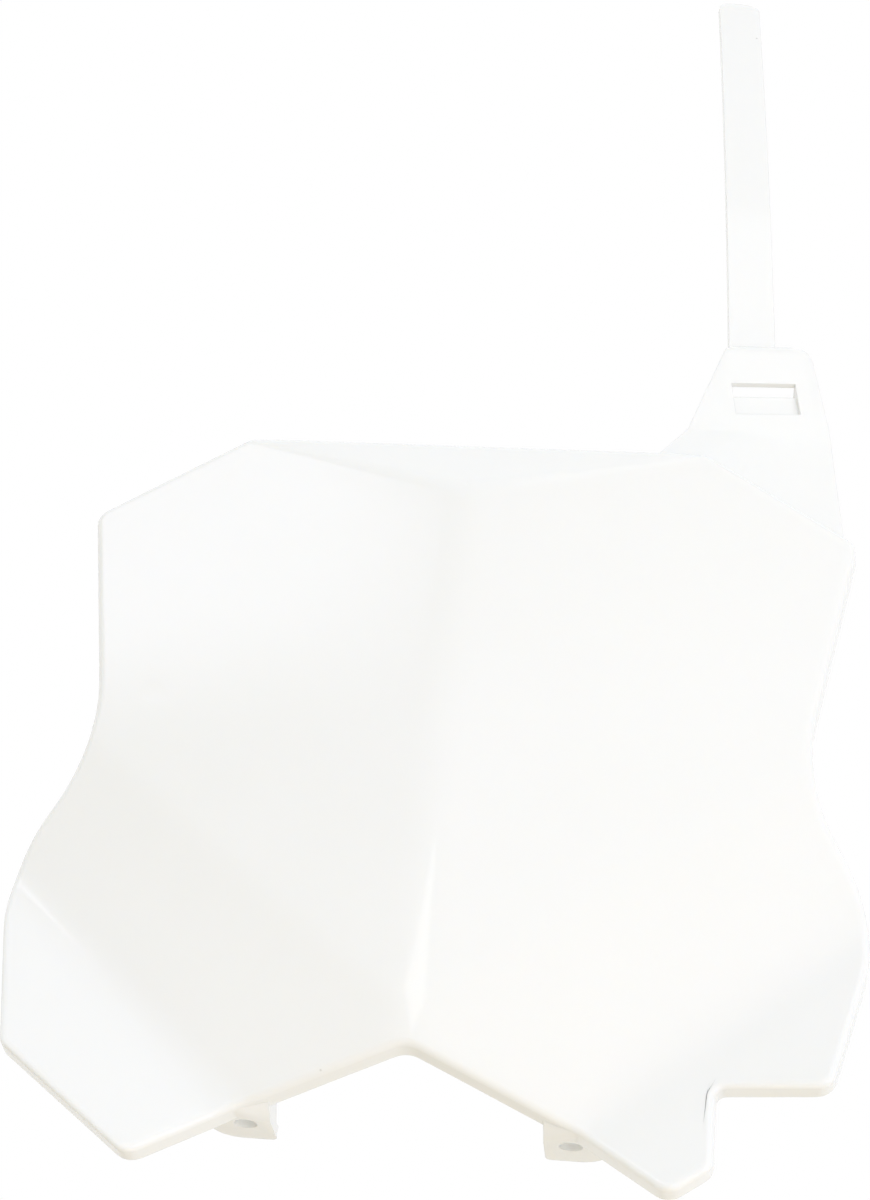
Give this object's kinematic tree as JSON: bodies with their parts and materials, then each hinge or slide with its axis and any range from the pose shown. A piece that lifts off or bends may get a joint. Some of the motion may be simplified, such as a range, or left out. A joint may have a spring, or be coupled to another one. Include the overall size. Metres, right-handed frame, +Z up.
{
  "type": "racing number board",
  "caption": "One-piece moulded front number board for an off-road motorbike, a folded thin shell with wings, mounting tabs, a hose notch, and a slotted neck that carries an upright strap",
  "frame": {"origin": "midway between the two tab holes, on the undersides of the tabs", "axes": "+X to the viewer's right across the board, +Y to the back, away from the viewer, +Z up along the tab holes and the strap"},
  "size_m": [0.2666, 0.0552, 0.5091],
  "materials": {
    "shell_plastic": "gloss white, moulded through"
  },
  "bodies": {
    "root": {"number_board": "shell_plastic"}
  },
  "joints": []
}
